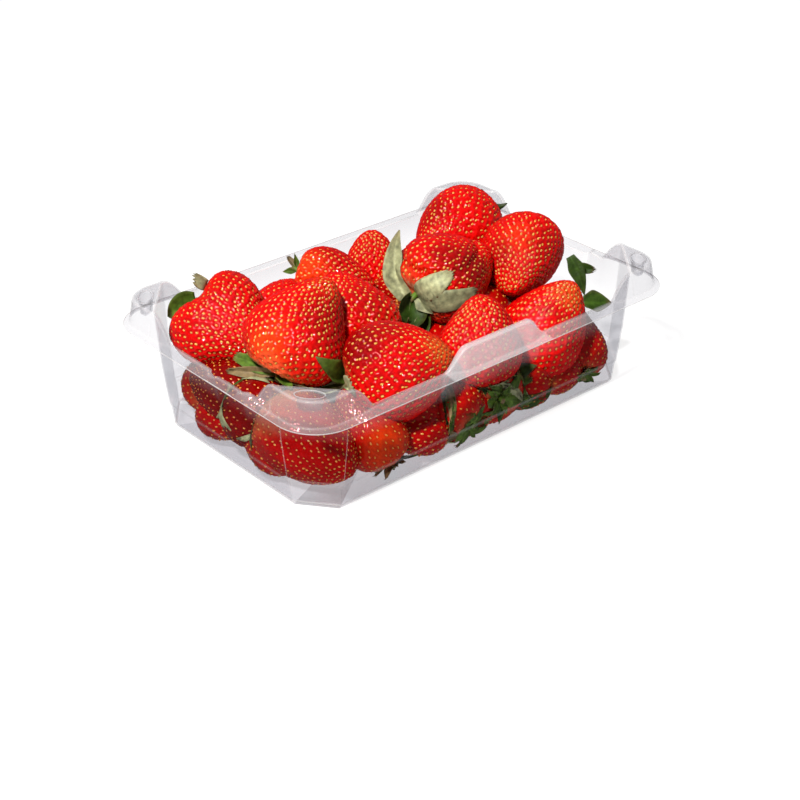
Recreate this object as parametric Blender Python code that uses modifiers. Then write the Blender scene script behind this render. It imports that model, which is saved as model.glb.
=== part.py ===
"""A clear thermoformed punnet heaped with strawberries, modelled at real size.

Metres, +Z up. The origin is the middle of the punnet's underside, +X runs along
the long side and +Y across it. The finger bump of the rim is on the -Y side.
Lengths below are in millimetres and are turned into metres when a mesh is made.
"""
import math

import bmesh
import bpy
from mathutils import Matrix, Vector

MM = 0.001

# The clear sheet and the tub that it forms
SHEET = 0.6
RIM_LENGTH = 188.0
RIM_WIDTH = 125.0
RIM_CORNER = 17.0
FLANGE_END = 5.5
FLANGE_SIDE = 5.8
FLANGE_FALL = 1.0
FLANGE_Z = 41.0
TAPER = 0.13
FOOT_RADIUS = 1.5
CREASE_Z = 10.0
CREASE_RISE = 1.0
CREASE_STEP = 0.6
CHAMFER_X = 71.5
CHAMFER_Y = 37.0
CORNER_STEPS = 8

# The raised corners, where the rim rises over the cut-off corner of the tub
RAISE = 9.5
RAISE_RUN = 10.0
RAISE_STEPS = 4
RAISE_RADIUS = 11.0
RIDGE = 0.8
DRAFT = 1.2
CUP_LENGTH = 10.5
CUP_WIDTH = 5.5
CUP_DEPTH = 6.0
CUP_TAPER = 0.85
CUP_SIDES = 20

# The finger bump in the middle of the -Y rim, and the low step of the +Y rim
BUMP = 8.5
BUMP_CENTRE = -2.0
BUMP_TOP = 15.5
BUMP_FOOT = 25.5
BUMP_RIDGE = 2.2
LOW_STEP = 1.2
LOW_STEP_FROM = -60.0
LOW_STEP_TO = -34.0

# The two small flutes in each end wall
FLUTE_Y = (-1.0, -19.0)
FLUTE_HALF = 3.0
FLUTE_DEPTH = 1.8
FLUTE_Z = 28.0
FLUTE_DIP = 1.2

# The heap: a core that fills the gaps between the berries, short of the walls
GAP = 0.5
CORE_INSET = 11.0
CORE_TOP = 22.0
BERRY_RINGS = 8
BERRY_SIDES = 12
BERRY_SHOULDER = 0.32

# Each berry: centre (x, y, z), length, width, where its tip points (azimuth from
# +X, elevation), its thickness as a share of its width, and its roll about its
# axis. With no roll the width lies level.
BERRIES = {
    # the heap's top, from the left end to the right
    "left_heart": ((-58, 34, 38), 42, 40, -80, -15, 0.92, 0),
    "front_tall": ((-51, -5, 48), 42, 40, 0, 50, 0.92, 0),
    "behind_left": ((-25, 41, 29), 32, 28, 30, 20, 0.95, 0),
    "back_lying": ((-2, 36, 38), 35, 27, -50, -12, 0.95, 0),
    "behind_tall": ((-23, 0, 43), 38, 33, 80, 35, 0.92, 0),
    "front_large": ((-30, -36, 37), 42, 41, -40, 15, 0.95, 0),
    "back_small": ((25, 41, 31), 36, 22, 50, 70, 0.95, 0),
    "folded": ((28, 0, 46), 36, 41, 15, 0, 0.80, 0),
    "front_middle": ((9, -38, 37), 36, 30, 50, 75, 0.95, 0),
    "back_corner": ((56, 27, 47), 41, 37, -165, -15, 0.92, 0),
    "right_upper": ((57, -12, 45), 41, 37, -143, -12, 0.85, 40),
    "right_front": ((45, -40, 29), 42, 33, -35, 55, 0.95, 0),
    "middle_right": ((37, -8, 27), 34, 28, 40, 10, 0.95, 0),
    # the floor of the punnet, row by row from the -Y wall
    "floor_front_corner": ((-71, -32, 17), 39, 32, -45, -8, 0.80, 90),
    "floor_orange": ((-46, -37, 14), 34, 27, 120, 55, 0.95, 0),
    "floor_shaded": ((-26, -32, 15), 34, 28, 160, 10, 0.95, 0),
    "floor_red": ((-9, -38, 17), 34, 27, 100, 20, 0.95, 0),
    "floor_calyx": ((12, -37, 16), 36, 30, 80, 0, 0.95, 0),
    "floor_plain": ((38, -34, 15), 36, 27, 20, -5, 0.95, 0),
    "floor_right": ((64, -36, 15), 34, 26, 60, 40, 0.95, 0),
    "floor_left_wall": ((-72, 18, 20), 36, 25, 100, 0, 0.95, 0),
    "floor_left_middle": ((-70, -7, 16), 34, 28, -80, 10, 0.95, 0),
    "floor_middle_a": ((-42, -6, 17), 36, 30, 45, 0, 0.95, 0),
    "floor_middle_b": ((-12, 2, 16), 36, 30, -30, 0, 0.95, 0),
    "floor_middle_c": ((18, -6, 17), 36, 30, 60, 10, 0.95, 0),
    "floor_middle_d": ((48, -4, 17), 36, 31, -20, 0, 0.95, 0),
    "floor_back_a": ((-44, 32, 15), 36, 28, 20, 0, 0.95, 0),
    "floor_back_b": ((-12, 32, 15), 34, 28, 150, 0, 0.95, 0),
    "floor_back_c": ((20, 28, 16), 36, 29, -40, 5, 0.95, 0),
    "floor_back_d": ((54, 27, 19), 38, 35, 10, 0, 0.95, 0),
}


def arc_positions(start, inward, run, steps):
    """Places along a side from `start`, closer together where the arc is steep."""
    return [start + inward * run * math.sin(math.pi / 2 * i / steps) for i in range(1, steps + 1)]


def end_stations():
    """The y positions at which the rim of an end (+X or -X) is shaped."""
    spots = [0.5 * CHAMFER_Y]
    for side in (-1, 1):
        spots.append(side * CHAMFER_Y)
        spots += arc_positions(side * CHAMFER_Y, -side, RAISE_RUN, RAISE_STEPS)
    for centre in FLUTE_Y:
        spots += [centre + FLUTE_HALF * k for k in (-1.0, -0.6, 0.0, 0.6, 1.0)]
    return sorted(spots)


def side_stations(side):
    """The x positions at which the rim of a long side (+Y or -Y) is shaped."""
    spots = []
    for end in (-1, 1):
        spots.append(end * CHAMFER_X)
        spots += arc_positions(end * CHAMFER_X, -end, RAISE_RUN, RAISE_STEPS)
        if side < 0:
            run = BUMP_FOOT - BUMP_TOP
            spots += [BUMP_CENTRE + end * (BUMP_TOP + run * k / 6) for k in range(7)]
    if side > 0:
        spots += [LOW_STEP_FROM, LOW_STEP_FROM + 2, LOW_STEP_TO - 2, LOW_STEP_TO, 0.0]
    return sorted(spots)


def smoothstep(value):
    value = min(max(value, 0.0), 1.0)
    return value * value * (3 - 2 * value)


def corner_raise(distance):
    """Height of the rim at a distance from the cut-off corner."""
    return RAISE * math.cos(math.pi / 2 * min(distance / RAISE_RUN, 1.0))


def rim_shape(kind, place):
    """Rise of the rim, width of its ridge and depth of its flute at a station."""
    if kind == "corner":
        return RAISE, RIDGE, 0.0
    if kind == "end":
        rise = corner_raise(CHAMFER_Y - abs(place))
        flute = sum(FLUTE_DEPTH * math.cos(math.pi / 2 * min(abs(place - y) / FLUTE_HALF, 1.0))
                    for y in FLUTE_Y)
        if min(FLUTE_Y) <= place <= max(FLUTE_Y):
            rise -= FLUTE_DIP
        return rise, RIDGE, flute
    rise = corner_raise(CHAMFER_X - abs(place))
    if kind == "front":
        bump = smoothstep((BUMP_FOOT - abs(place - BUMP_CENTRE)) / (BUMP_FOOT - BUMP_TOP))
        return rise + BUMP * bump, RIDGE + (BUMP_RIDGE - RIDGE) * bump, 0.0
    if LOW_STEP_FROM < place < LOW_STEP_TO:
        rise += LOW_STEP
    return rise, RIDGE, 0.0


def tub_half(z):
    """Half length and half width of the tub's outer face, upright above the flange."""
    slack = TAPER * min(z - FLANGE_Z, 0.0)
    return RIM_LENGTH / 2 - FLANGE_END + slack, RIM_WIDTH / 2 - FLANGE_SIDE + slack


def on_straight(kind, place, half_x, half_y, side):
    if kind == "end":
        return Vector((side * half_x, place))
    return Vector((place, side * half_y))


def on_chamfer(t, sx, sy, half_x, half_y):
    """Point of the cut-off corner: t = 0 on the end wall, t = 1 on the long wall."""
    first = Vector((sx * half_x, sy * CHAMFER_Y))
    last = Vector((sx * CHAMFER_X, sy * half_y))
    return first.lerp(last, t)


def on_round(t, sx, sy, half_x, half_y, radius):
    """Point of the rounded corner outside the cut-off one, by share of its length."""
    along_y = half_y - radius - CHAMFER_Y
    along_x = half_x - radius - CHAMFER_X
    bend = radius * math.pi / 2
    run = t * (along_y + bend + along_x)
    if run <= along_y:
        x, y = half_x, CHAMFER_Y + run
    elif run <= along_y + bend:
        angle = (run - along_y) / radius
        x = half_x - radius + radius * math.cos(angle)
        y = half_y - radius + radius * math.sin(angle)
    else:
        x = half_x - radius - (run - along_y - bend)
        y = half_y
    return Vector((sx * x, sy * y))


def stations():
    """Stations round the rim, counter-clockwise, as (kind, place, sign x, sign y)."""
    share = [i / CORNER_STEPS for i in range(1, CORNER_STEPS)]
    route = [("end", y, 1, 0) for y in end_stations()]
    route += [("corner", t, 1, 1) for t in share]
    route += [("back", x, 0, 1) for x in reversed(side_stations(1))]
    route += [("corner", t, -1, 1) for t in reversed(share)]
    route += [("end", y, -1, 0) for y in reversed(end_stations())]
    route += [("corner", t, -1, -1) for t in share]
    route += [("front", x, 0, -1) for x in side_stations(-1)]
    route += [("corner", t, 1, -1) for t in reversed(share)]
    return route


def wall_point(station, z, grow):
    """Point of the tub wall at height z, moved outward by grow."""
    kind, place, sx, sy = station
    half_x, half_y = tub_half(z)
    if kind == "corner":
        spot = on_chamfer(place, sx, sy, half_x + grow, half_y + grow)
    else:
        spot = on_straight(kind, place, half_x + grow, half_y + grow, sx + sy)
    return (spot.x, spot.y, z)


def rim_point(station, z, grow, radius):
    """Point outside the tub wall at height z, on the rounded outline."""
    kind, place, sx, sy = station
    half_x, half_y = tub_half(FLANGE_Z)
    if kind == "corner":
        spot = on_round(place, sx, sy, half_x + grow, half_y + grow, radius)
    else:
        spot = on_straight(kind, place, half_x + grow, half_y + grow, sx + sy)
    return (spot.x, spot.y, z)


def flange_point(station):
    kind, place, sx, sy = station
    if kind == "corner":
        spot = on_round(place, sx, sy, RIM_LENGTH / 2, RIM_WIDTH / 2, RIM_CORNER)
    else:
        spot = on_straight(kind, place, RIM_LENGTH / 2, RIM_WIDTH / 2, sx + sy)
    return (spot.x, spot.y, FLANGE_Z)


def punnet_column(station):
    """The sheet's section at one station, from the foot of the tub to the rim's edge."""
    rise, ridge, flute = rim_shape(station[0], station[1])
    top = FLANGE_Z + FLANGE_FALL + rise
    foot = FLANGE_Z + 0.8 * FLANGE_FALL - max(-rise, 0.0)
    draft = 0.6 + DRAFT * max(rise, 0.0) / RAISE
    return [
        wall_point(station, 0.0, -FOOT_RADIUS),
        wall_point(station, FOOT_RADIUS, -CREASE_STEP),
        wall_point(station, CREASE_Z, -CREASE_STEP),
        wall_point(station, CREASE_Z + CREASE_RISE, 0.0),
        wall_point(station, FLUTE_Z, 0.0),
        wall_point(station, top, flute),
        rim_point(station, top, flute + ridge, RAISE_RADIUS),
        rim_point(station, foot, flute + ridge + draft, RAISE_RADIUS + draft),
        flange_point(station),
    ]


def mesh_object(name, verts, faces, collection):
    mesh = bpy.data.meshes.new(name)
    mesh.from_pydata([Vector(v) * MM for v in verts], [], faces)
    obj = bpy.data.objects.new(name, mesh)
    collection.objects.link(obj)
    return obj


def loft(columns, close_first, close_last):
    """Vertices and faces of a skin through closed sections, column by column."""
    rows = len(columns[0])
    count = len(columns)
    verts = [point for column in columns for point in column]
    faces = []
    for i in range(count):
        j = (i + 1) % count
        for k in range(rows - 1):
            faces.append((i * rows + k, j * rows + k, j * rows + k + 1, i * rows + k + 1))
    if close_first:
        faces.append([i * rows for i in reversed(range(count))])
    if close_last:
        faces.append([i * rows + rows - 1 for i in range(count)])
    return verts, faces


def boolean(obj, operation, operand):
    cut = obj.modifiers.new(operation.title(), "BOOLEAN")
    cut.operation = operation
    cut.solver = "EXACT"
    if isinstance(operand, bpy.types.Collection):
        cut.operand_type = "COLLECTION"
        cut.collection = operand
    else:
        cut.object = operand


def hide_cutters(collection):
    for cutter in collection.objects:
        cutter.hide_render = True
        cutter.display_type = "WIRE"


def cup(name, sx, sy, floor, top, shrink, collection):
    """A tapered oval plug, set along the cut-off corner in the middle of its shelf."""
    half_x, half_y = tub_half(FLANGE_Z + RAISE)
    middle = on_chamfer(0.5, sx, sy, half_x, half_y)
    apex = on_round(0.5, sx, sy, half_x + RIDGE, half_y + RIDGE, RAISE_RADIUS)
    centre = middle.lerp(apex, 0.5)
    along = on_chamfer(1, sx, sy, half_x, half_y) - on_chamfer(0, sx, sy, half_x, half_y)
    turn = math.atan2(along.y, along.x)
    plug = bmesh.new()
    bmesh.ops.create_cone(plug, cap_ends=True, segments=CUP_SIDES, depth=1.0,
                          radius1=CUP_TAPER, radius2=1.0)
    size = ((CUP_LENGTH / 2 - shrink) * MM, (CUP_WIDTH / 2 - shrink) * MM, (top - floor) * MM)
    place = Matrix.Translation(Vector((centre.x, centre.y, (top + floor) / 2)) * MM)
    place = place @ Matrix.Rotation(turn, 4, "Z") @ Matrix.Diagonal((*size, 1.0))
    bmesh.ops.transform(plug, matrix=place, verts=plug.verts)
    mesh = bpy.data.meshes.new(name)
    plug.to_mesh(mesh)
    plug.free()
    obj = bpy.data.objects.new(name, mesh)
    collection.objects.link(obj)


def make_punnet(collection, cups, hollows):
    verts, faces = loft([punnet_column(s) for s in stations()], True, False)
    punnet = mesh_object("punnet", verts, faces, collection)
    sheet = punnet.modifiers.new("Sheet", "SOLIDIFY")
    sheet.thickness = SHEET * MM
    sheet.offset = -1.0
    sheet.use_even_offset = True
    shelf = FLANGE_Z + FLANGE_FALL + RAISE + SHEET
    for sx in (-1, 1):
        for sy in (-1, 1):
            name = f"cup_{sx:+d}{sy:+d}"
            cup(name, sx, sy, shelf - CUP_DEPTH, shelf - 0.2, 0.0, cups)
            cup(name + "_hollow", sx, sy, shelf - CUP_DEPTH + SHEET, shelf + 1.0, SHEET, hollows)
    boolean(punnet, "UNION", cups)
    boolean(punnet, "DIFFERENCE", hollows)
    return punnet


def berry_turn(azimuth, elevation, roll):
    """Rotation that points local +Z at the tip and leaves local X level at no roll."""
    lean = Matrix.Rotation(math.radians(90 - elevation), 4, "Y")
    swing = Matrix.Rotation(math.radians(azimuth), 4, "Z")
    quarter = Matrix.Rotation(math.radians(90 + roll), 4, "Z")
    return swing @ lean @ quarter


def berry(name, spec, collection):
    """A conic berry: broad shoulders at its stalk end, a blunt tip at the other."""
    centre, length, width, azimuth, elevation, thick, roll = spec
    ball = bmesh.new()
    bmesh.ops.create_uvsphere(ball, u_segments=BERRY_SIDES, v_segments=BERRY_RINGS, radius=1.0)
    for vert in ball.verts:
        belly = 1 - BERRY_SHOULDER * vert.co.z
        vert.co.x *= belly
        vert.co.y *= belly
    broad = max(vert.co.x for vert in ball.verts)
    size = (width / 2 / broad * MM, width / 2 / broad * thick * MM, length / 2 * MM)
    turn = berry_turn(azimuth, elevation, roll)
    place = Matrix.Translation(Vector(centre) * MM) @ turn @ Matrix.Diagonal((*size, 1.0))
    bmesh.ops.transform(ball, matrix=place, verts=ball.verts)
    mesh = bpy.data.meshes.new(name)
    ball.to_mesh(mesh)
    ball.free()
    obj = bpy.data.objects.new(name, mesh)
    collection.objects.link(obj)


def prism(name, inset, bottom, top, collection):
    """A block that follows the tub's inner wall, an inset away from it."""
    corners = [("corner", t, sx, sy) for sx, sy, t in
               ((1, 1, 0), (1, 1, 1), (-1, 1, 1), (-1, 1, 0),
                (-1, -1, 0), (-1, -1, 1), (1, -1, 1), (1, -1, 0))]
    levels = [bottom, FLANGE_Z, top] if top > FLANGE_Z else [bottom, top]
    columns = []
    for corner in corners:
        column = []
        for z in levels:
            x, y, _ = wall_point(corner, min(z, FLANGE_Z), -inset)
            column.append((x, y, z))
        columns.append(column)
    verts, faces = loft(columns, True, True)
    return mesh_object(name, verts, faces, collection)


def make_berries(collection, heap, limits):
    berries = prism("berries", CORE_INSET, SHEET + GAP + 1.0, CORE_TOP, collection)
    for name, spec in BERRIES.items():
        berry(name, spec, heap)
    boolean(berries, "UNION", heap)
    inside = prism("inside", SHEET + CREASE_STEP + GAP, SHEET + GAP, 120.0, limits)
    boolean(berries, "INTERSECT", inside)
    return berries


def clear_plastic():
    material = bpy.data.materials.new("clear_plastic")
    material.use_nodes = True
    shader = material.node_tree.nodes["Principled BSDF"]
    shader.inputs["Base Color"].default_value = (0.93, 0.93, 0.95, 1.0)
    shader.inputs["Roughness"].default_value = 0.06
    shader.inputs["Metallic"].default_value = 0.0
    shader.inputs["Transmission Weight"].default_value = 1.0
    shader.inputs["IOR"].default_value = 1.5
    return material


def strawberry_flesh():
    material = bpy.data.materials.new("strawberry_flesh")
    material.use_nodes = True
    shader = material.node_tree.nodes["Principled BSDF"]
    shader.inputs["Base Color"].default_value = (0.62, 0.015, 0.01, 1.0)
    shader.inputs["Roughness"].default_value = 0.3
    shader.inputs["Metallic"].default_value = 0.0
    return material


def new_collection(name, parent):
    collection = bpy.data.collections.new(name)
    parent.children.link(collection)
    return collection


def main():
    for old in list(bpy.data.objects):
        bpy.data.objects.remove(old)
    root = bpy.context.scene.collection
    model = new_collection("punnet_of_strawberries", root)
    guides = new_collection("guides", root)
    cups = new_collection("cups", guides)
    hollows = new_collection("cup_hollows", guides)
    heap = new_collection("heap", guides)
    limits = new_collection("limits", guides)
    punnet = make_punnet(model, cups, hollows)
    punnet.data.materials.append(clear_plastic())
    berries = make_berries(model, heap, limits)
    berries.data.materials.append(strawberry_flesh())
    for collection in (cups, hollows, heap, limits):
        hide_cutters(collection)


main()
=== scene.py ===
"""The clear punnet of strawberries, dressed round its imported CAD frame.

Metres, +Z up, the origin under the middle of the punnet. Lengths below are in
millimetres and are turned into metres when a mesh is made. Each berry is
modelled for itself: its skin with a pit round every seed, its seeds, and its
leafy calyx. The berries of one kind are joined into one piece.
"""
import math
import random

import bmesh
import bpy
import numpy as np
from mathutils import Matrix, Vector, noise
from mathutils.kdtree import KDTree


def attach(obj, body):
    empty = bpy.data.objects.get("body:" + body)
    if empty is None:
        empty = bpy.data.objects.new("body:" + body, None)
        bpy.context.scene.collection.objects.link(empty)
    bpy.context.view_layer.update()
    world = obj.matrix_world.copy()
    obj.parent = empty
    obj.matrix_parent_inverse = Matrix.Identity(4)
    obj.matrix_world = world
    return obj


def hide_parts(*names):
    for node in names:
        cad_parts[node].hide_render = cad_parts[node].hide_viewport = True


MM = 0.001

# ---------------------------------------------------------------- the punnet
SHEET = 0.45
RIM_LENGTH = 188.0
RIM_WIDTH = 125.0
RIM_CORNER = 17.0
FLANGE_END = 5.5
FLANGE_SIDE = 5.8
FLANGE_FALL = 1.0
FLANGE_Z = 41.0
TAPER = 0.13
FOOT_RADIUS = 1.5
CREASE_Z = 10.0
CREASE_RISE = 1.0
CREASE_STEP = 0.6
CHAMFER_X = 71.5
CHAMFER_Y = 37.0
CORNER_STEPS = 26
RAISE = 9.5
RAISE_RUN = 10.0
RAISE_STEPS = 12
RAISE_RADIUS = 11.0
RIDGE = 0.8
DRAFT = 1.2
CUP_LENGTH = 10.5
CUP_WIDTH = 5.5
CUP_DEPTH = 6.0
CUP_TAPER = 0.85
CUP_SIDES = 40
BUMP = 8.5
BUMP_CENTRE = -2.0
BUMP_TOP = 15.5
BUMP_FOOT = 25.5
BUMP_STEPS = 14
BUMP_RIDGE = 2.2
LOW_STEP = 1.2
LOW_STEP_FROM = -60.0
LOW_STEP_TO = -34.0
FLUTE_Y = (-1.0, -19.0)
FLUTE_HALF = 3.0
FLUTE_DEPTH = 1.8
FLUTE_Z = 28.0
FLUTE_DIP = 1.2
FILLET = 0.9
HAZE = 0.065
BUMP_HAZE = 0.16
FILLET_STEPS = 3
# How much each bend of the section catches the light as a fine line, and its edge
LINES = (0.0, 0.30, 0.05, 0.08, 0.0, 0.22, 0.10, 0.06, 0.0)
EDGE_LINE = 0.5
CREASE_LINE = 0.22
CREASE_HALF = 0.25
CUP_LINE = 0.35

# ---------------------------------------------------------------- the berries
SHOULDER = 0.32
FINE = 62
MEDIUM = 24
COARSE = 11
CLEARANCE = 0.4
GOLDEN_ANGLE = math.pi * (3 - math.sqrt(5))

# Each berry: centre (x, y, z), length, width, where its tip points (azimuth from
# +X, elevation), its thickness as a share of its width, and its roll about its
# axis. With no roll the width lies level.
TOP_BERRIES = {
    "left_heart": ((-58, 34, 37), 42, 39, -91, -6, 0.92, 26),
    "front_tall": ((-51, -5, 48), 42, 40, 0, 50, 0.92, 0),
    "behind_left": ((-25, 41, 29), 32, 28, 30, 20, 0.95, 0),
    "back_lying": ((-2, 36, 38), 35, 27, -50, -12, 0.95, 0),
    "behind_tall": ((-23, 0, 43), 38, 33, 80, 35, 0.92, 0),
    "front_large": ((-29, -34.8, 36.1), 42, 41, -40, 15, 0.95, 0),
    "back_small": ((23, 43, 32), 33, 26, 50, 70, 0.95, 0),
    "folded": ((26, -1, 45.3), 41, 41, -4, 15, 0.80, 0),
    "front_middle": ((9, -37, 35), 36, 34, 50, 75, 0.95, 0),
    "back_corner": ((54.5, 26.5, 45), 46, 35, -165, -15, 0.92, 0),
    "right_upper": ((56, -11.2, 45), 41, 36, -143, -12, 0.85, 40),
    "right_front": ((46.3, -37.3, 29.7), 42, 35, -35, 60, 0.95, 0),
}
LOW_BERRIES = {
    "middle_right": ((37, -8, 27), 34, 28, 40, 10, 0.95, 0),
    "right_end": ((63, 4, 26), 34, 28, -160, -25, 0.95, 0),
    "middle_left": ((-38, 17, 26), 34, 28, -60, 20, 0.95, 0),
    "middle_back": ((28, 24, 29), 34, 28, 160, 10, 0.95, 0),
    "middle_centre": ((-4, 10, 28), 34, 28, 100, 10, 0.95, 0),
    "floor_front_corner": ((-68, -28, 19), 42, 34, -80, -15, 0.95, 0),
    "floor_orange": ((-46, -37, 14), 34, 27, 120, 55, 0.95, 0),
    "floor_shaded": ((-26, -32, 15), 34, 28, 160, 10, 0.95, 0),
    "floor_red": ((-9, -38, 17), 34, 27, 100, 20, 0.95, 0),
    "floor_calyx": ((12, -34, 16), 36, 30, 80, 0, 0.95, 0),
    "floor_plain": ((38, -34, 15), 36, 27, 20, -5, 0.95, 0),
    "floor_right": ((64, -36, 15), 34, 26, 60, 40, 0.95, 0),
    "side_left_wall": ((-70, 18, 20), 38, 28, 100, 0, 0.95, 0),
    "side_left_front": ((-68, -6, 18), 36, 29, -80, 10, 0.95, 0),
    "floor_middle_a": ((-42, -6, 17), 36, 30, 45, 0, 0.95, 0),
    "floor_middle_b": ((-12, 2, 16), 36, 30, -30, 0, 0.95, 0),
    "floor_middle_c": ((18, -6, 17), 36, 30, 60, 10, 0.95, 0),
    "floor_middle_d": ((48, -4, 17), 36, 31, -20, 0, 0.95, 0),
    "floor_back_a": ((-44, 32, 15), 36, 28, 20, 0, 0.95, 0),
    "floor_back_b": ((-12, 32, 15), 34, 28, 150, 0, 0.95, 0),
    "floor_back_c": ((20, 28, 16), 36, 29, -40, 5, 0.95, 0),
    "floor_back_d": ((54, 27, 19), 38, 35, 10, 0, 0.95, 0),
    "floor_small_a": ((-76, -12, 10), 28, 20, 95, 0, 0.95, 0),
    "floor_small_b": ((-76, 14, 10), 28, 20, -85, 5, 0.95, 0),
    "floor_small_d": ((-27, -42, 10), 26, 20, 170, 5, 0.95, 0),
    "floor_small_e": ((2, -43, 10), 28, 21, 10, 0, 0.95, 0),
    "floor_small_f": ((27, -43, 10), 28, 20, 175, 0, 0.95, 0),
    "floor_small_g": ((51, -42, 10), 28, 21, 5, 5, 0.95, 0),
    "floor_small_h": ((77, -18, 10), 27, 20, 80, 0, 0.95, 0),
    "floor_small_i": ((78, 8, 10), 28, 21, -95, 0, 0.95, 0),
    "floor_small_j": ((75, 34, 10), 26, 21, 60, 0, 0.95, 0),
    "floor_small_k": ((37, 44, 10), 28, 21, 5, 0, 0.95, 0),
    "floor_small_l": ((4, 44, 10), 28, 21, 175, 0, 0.95, 0),
    "floor_small_m": ((-28, 44, 10), 28, 20, 10, 5, 0.95, 0),
    "floor_small_n": ((-62, 42, 11), 29, 22, 40, 0, 0.95, 0),
}
PIECES = {
    "strawberries_left": ("left_heart", "front_tall", "behind_left", "behind_tall"),
    "strawberries_middle": ("back_lying", "front_large", "back_small", "front_middle"),
    "strawberries_right": ("folded", "back_corner", "right_upper", "right_front"),
    "strawberries_below": tuple(LOW_BERRIES),
}

# What differs from berry to berry: pointed tip, heart lobes, pale shoulder, green
# tip, darkness, seed spacing, a furrow (direction, offset, depth), a valley between
# two lobes (direction, depth), a flat stalk end, and spots of colour (angle about the
# axis, height from -1 to 1, radius, tone, share)
PLAIN = {"point": 0.08, "lobes": 0.0, "lobe_turn": 0.0, "pale": 0.15, "green": 0.0, "dark": 0.0,
         "spacing": 2.6, "furrow": None, "valley": None, "lean": 0.0, "flat": 0.0, "spots": ()}
TRAITS = {
    "left_heart": {"lobes": 0.15, "valley": (0.0, 3.9), "pale": 0.1, "point": 0.2},
    "front_tall": {"point": 0.18, "pale": 0.1, "green": 0.15, "lean": 0.6,
                   "spots": ((101, -0.7, 12, "orange", 0.75), (125, -0.85, 8, "pale", 0.2),
                             (175, 0.5, 14, "deep", 0.7))},
    "behind_tall": {"pale": 0.1, "spots": ((88, -0.2, 12, "deep", 0.5),)},
    "back_lying": {"pale": 0.1, "lean": 0.3,
                   "spots": ((135, -0.7, 9, "orange", 0.7), (90, -0.2, 10, "deep", 0.4))},
    # Painted shade: the deep spots on this berry's shoulder stand for the shadow that falls there
    "front_large": {"pale": 0.0, "dark": 0.1,
                    "spots": ((115, -0.55, 11, "deep", 1.0), (95, -0.1, 9, "deep", 0.5),
                              (122, 0.95, 7, "green", 0.5))},
    # Painted shade: the deep spots stand for the shade on this berry's shaded side
    "folded": {"dark": 0.06, "furrow": (90.0, 0.62, 1.3), "pale": 0.2, "point": 0.0,
               "spots": ((155, 0.2, 10, "deep", 1.0), (119, -0.2, 8, "deep", 0.7))},
    "front_middle": {"pale": 0.0, "point": 0.0, "dark": 0.12},
    "back_corner": {"pale": 0.1, "spots": ((113, 0.3, 9, "deep", 0.5),)},
    "right_upper": {"pale": 0.1, "flat": 0.5,
                    "spots": ((52, 0.1, 8, "orange", 0.4), (97, 0.5, 8, "deep", 0.6),
                              (4, 0.0, 10, "deep", 0.4))},
    "right_front": {"point": 0.05, "pale": 0.0,
                    "spots": ((168, 0.95, 7, "green", 0.4), (166, -0.1, 12, "bright", 0.6))},
    "back_small": {"pale": 0.2, "spacing": 2.4, "point": -0.1},
    "floor_front_corner": {"pale": 0.3, "spots": ((90, -0.9, 15, "pale", 0.9),)},
    "floor_orange": {"pale": 1.0, "spots": ((43, -0.45, 10, "orange", 1.0),)},
}


# ---------------------------------------------------------------- small helpers
def smoothstep(value):
    value = min(max(value, 0.0), 1.0)
    return value * value * (3 - 2 * value)


def ramp(values, low, high):
    """Smooth 0 to 1 over an array, from low to high."""
    t = np.clip((values - low) / (high - low), 0.0, 1.0)
    return t * t * (3 - 2 * t)


def seed_of(name):
    """A number for a name that is the same in every run."""
    return sum((i + 3) * ord(letter) for i, letter in enumerate(name))


def add_object(name, verts, faces, shine=()):
    """A mesh object from vertices in millimetres, with a line and a haze for each."""
    mesh = bpy.data.meshes.new(name)
    mesh.from_pydata((np.asarray(verts) * MM).tolist(), [], faces)
    mesh.update()
    mesh.shade_smooth()
    for label, values in zip(("line", "haze"), zip(*shine)):
        layer = mesh.attributes.new(label, "FLOAT", "POINT")
        layer.data.foreach_set("value", values)
    obj = bpy.data.objects.new(name, mesh)
    bpy.context.scene.collection.objects.link(obj)
    return obj


def apply_modifiers(obj):
    """Replaces the mesh by what its modifiers make of it."""
    graph = bpy.context.evaluated_depsgraph_get()
    mesh = bpy.data.meshes.new_from_object(obj.evaluated_get(graph))
    obj.modifiers.clear()
    obj.data = mesh


def finish_piece(obj, node, slot, *materials):
    obj.data.materials.clear()
    for material in materials:
        obj.data.materials.append(material)
    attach(obj, "root")
    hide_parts(node)


# ---------------------------------------------------------------- the punnet's sheet
def arc_positions(start, inward, run, steps):
    return [start + inward * run * math.sin(math.pi / 2 * i / steps) for i in range(1, steps + 1)]


def end_stations():
    spots = [0.5 * CHAMFER_Y]
    for side in (-1, 1):
        spots += [side * CHAMFER_Y, side * (CHAMFER_Y - CREASE_HALF)]
        spots += arc_positions(side * CHAMFER_Y, -side, RAISE_RUN, RAISE_STEPS)
    for centre in FLUTE_Y:
        spots += [centre + FLUTE_HALF * k / 5 for k in range(-5, 6)]
    return sorted(spots)


def side_stations(side):
    spots = []
    for end in (-1, 1):
        spots += [end * CHAMFER_X, end * (CHAMFER_X - CREASE_HALF)]
        spots += arc_positions(end * CHAMFER_X, -end, RAISE_RUN, RAISE_STEPS)
        if side < 0:
            run = BUMP_FOOT - BUMP_TOP
            spots += [BUMP_CENTRE + end * (BUMP_TOP + run * k / BUMP_STEPS)
                      for k in range(BUMP_STEPS + 1)]
    if side > 0:
        for edge in (LOW_STEP_FROM, LOW_STEP_TO):
            spots += [edge - 1.5, edge - 0.5, edge + 0.5, edge + 1.5]
        spots += [-20.0, 0.0, 20.0, 40.0]
    return sorted(set(spots))


def corner_raise(distance):
    """Height of the rim at a distance from the cut-off corner."""
    return RAISE * math.cos(math.pi / 2 * min(distance / RAISE_RUN, 1.0))


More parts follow.
